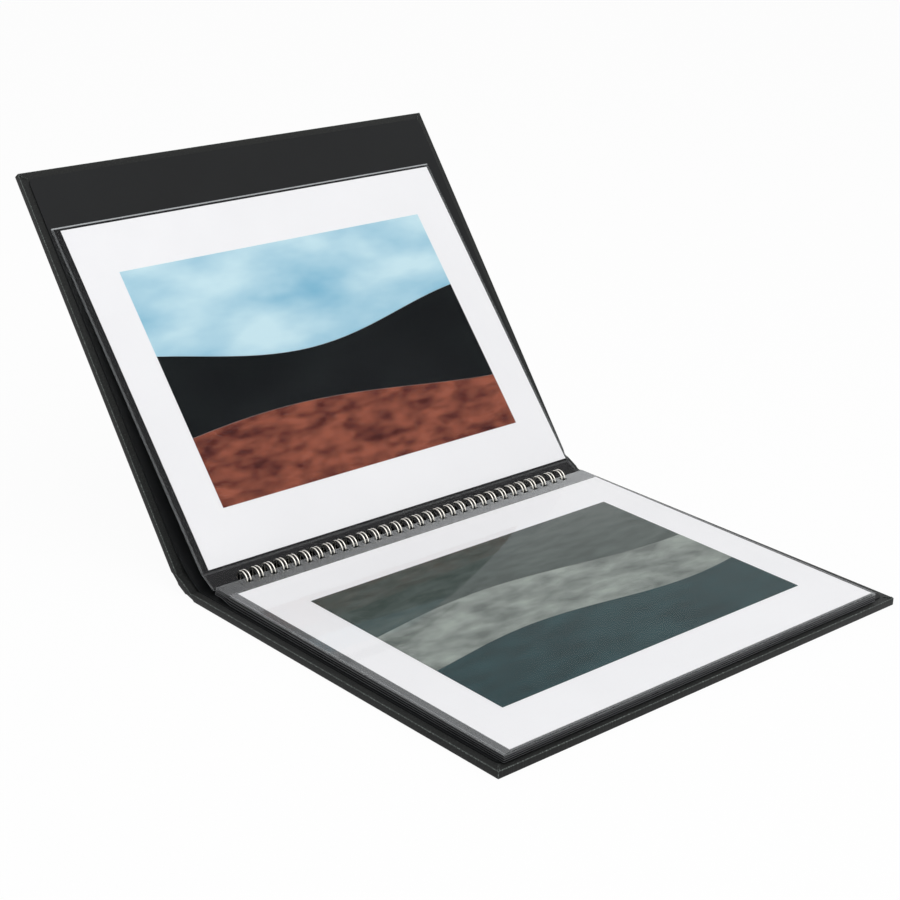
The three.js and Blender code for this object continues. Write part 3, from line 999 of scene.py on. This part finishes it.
class DISPLAYBOOK_OT_stage(bpy.types.Operator):
    """Set the pale floor, the soft light and the camera"""

    bl_idname = "displaybook.stage"
    bl_label = "Stage"

    def execute(self, context):
        look = context.scene.display_book_stage
        scene = context.scene
        scene.view_settings.view_transform = "Standard"

        bm = bmesh.new()
        bmesh.ops.create_grid(bm, x_segments=1, y_segments=1, size=20)
        shade = Shade("floor", (0.92, 0.92, 0.92), 0.9, specular=0.0)
        path = shade.node("ShaderNodeLightPath")
        seen = shade.math("MAXIMUM", path.outputs["Is Camera Ray"], path.outputs["Is Glossy Ray"])
        seen = shade.math("MAXIMUM", seen, path.outputs["Is Transmission Ray"])
        share = shade.math("MULTIPLY", seen, FLOOR_GLOW)
        glow = shade.node("ShaderNodeEmission", Strength=1.0)
        glow.inputs["Color"].default_value = (1, 1, 1, 1)
        mixed = shade.node("ShaderNodeMixShader")
        shade.link(share, mixed.inputs["Fac"])
        shade.link(shade.base.outputs[0], mixed.inputs[1])
        shade.link(glow.outputs[0], mixed.inputs[2])
        shade.link(mixed.outputs[0], shade.output.inputs["Surface"])
        floor = make_piece("floor", bm, shade.material)

        world = bpy.data.worlds.new("room")
        scene.world = world
        world.use_nodes = True
        tree = world.node_tree
        room = tree.nodes["Background"]
        path = tree.nodes.new("ShaderNodeLightPath")
        seen = path.outputs["Is Camera Ray"]
        for ray in ("Is Glossy Ray", "Is Transmission Ray"):
            node = tree.nodes.new("ShaderNodeMath")
            node.operation = "MAXIMUM"
            tree.links.new(seen, node.inputs[0])
            tree.links.new(path.outputs[ray], node.inputs[1])
            seen = node.outputs[0]
        level = tree.nodes.new("ShaderNodeMapRange")
        level.inputs["To Min"].default_value = look.room_light
        level.inputs["To Max"].default_value = 1.0
        tree.links.new(seen, level.inputs["Value"])
        tree.links.new(level.outputs["Result"], room.inputs["Strength"])
        room.inputs["Color"].default_value = (1, 1, 1, 1)

        target = Vector(look.target)
        for name, place, size, power in (
            ("key", Vector((-0.25, -0.55, 1.3)), 1.3, look.key_power),
            ("fill", Vector((0.9, -1.1, 0.9)), 1.0, look.fill_power),
        ):
            lamp = bpy.data.lights.new(name, "AREA")
            lamp.energy = power
            lamp.size = size
            holder = bpy.data.objects.new(name, lamp)
            holder.location = place
            holder.rotation_euler = (target - place).to_track_quat("-Z", "Y").to_euler()
            scene.collection.objects.link(holder)

        camera = bpy.data.cameras.new("camera")
        camera.sensor_width = 36
        camera.lens = look.lens
        camera.clip_start = 0.01
        camera.clip_end = 100
        holder = bpy.data.objects.new("camera", camera)
        back = Vector(
            (
                sin(look.azimuth) * cos(look.elevation),
                -cos(look.azimuth) * cos(look.elevation),
                sin(look.elevation),
            )
        )
        right = Vector((cos(look.azimuth), sin(look.azimuth), 0))
        up = back.cross(right)
        rolled_right = right * cos(look.roll) + up * sin(look.roll)
        rolled_up = up * cos(look.roll) - right * sin(look.roll)
        turn = Matrix((rolled_right, rolled_up, back)).transposed().to_4x4()
        holder.matrix_world = Matrix.Translation(target + back * look.distance) @ turn
        scene.collection.objects.link(holder)
        scene.camera = holder
        return {"FINISHED"}


class DISPLAYBOOK_PT_panel(bpy.types.Panel):
    """The pieces of the display book and their settings"""

    bl_idname = "DISPLAYBOOK_PT_panel"
    bl_label = "Display Book"
    bl_space_type = "VIEW_3D"
    bl_region_type = "UI"
    bl_category = "Display Book"

    def draw(self, context):
        for operator in OPERATORS:
            self.layout.operator(operator.bl_idname)
        for name in SETTINGS:
            group = getattr(context.scene, name)
            box = self.layout.box()
            for key in group.bl_rna.properties.keys():
                if key not in ("rna_type", "name"):
                    box.prop(group, key)


OPERATORS = (
    DISPLAYBOOK_OT_boards,
    DISPLAYBOOK_OT_case_cloth,
    DISPLAYBOOK_OT_linings,
    DISPLAYBOOK_OT_wire,
    DISPLAYBOOK_OT_pages,
    DISPLAYBOOK_OT_lower_pocket,
    DISPLAYBOOK_OT_standing_pocket,
    DISPLAYBOOK_OT_sheets,
    DISPLAYBOOK_OT_stage,
)
SETTINGS = {
    "display_book_case": CaseSettings,
    "display_book_wire": WireSettings,
    "display_book_pocket": PocketSettings,
    "display_book_stage": StageSettings,
}


def register():
    for group in SETTINGS.values():
        bpy.utils.register_class(group)
    for name, group in SETTINGS.items():
        setattr(bpy.types.Scene, name, PointerProperty(type=group))
    for operator in OPERATORS:
        bpy.utils.register_class(operator)
    bpy.utils.register_class(DISPLAYBOOK_PT_panel)


def unregister():
    bpy.utils.unregister_class(DISPLAYBOOK_PT_panel)
    for operator in reversed(OPERATORS):
        bpy.utils.unregister_class(operator)
    for name in SETTINGS:
        delattr(bpy.types.Scene, name)
    for group in SETTINGS.values():
        bpy.utils.unregister_class(group)


def main():
    register()
    bpy.ops.displaybook.boards()
    bpy.ops.displaybook.case_cloth()
    bpy.ops.displaybook.linings()
    bpy.ops.displaybook.wire()
    bpy.ops.displaybook.pages()
    bpy.ops.displaybook.lower_pocket()
    bpy.ops.displaybook.standing_pocket()
    bpy.ops.displaybook.sheets()
    bpy.ops.displaybook.stage()


if __name__ == "__main__":
    main()
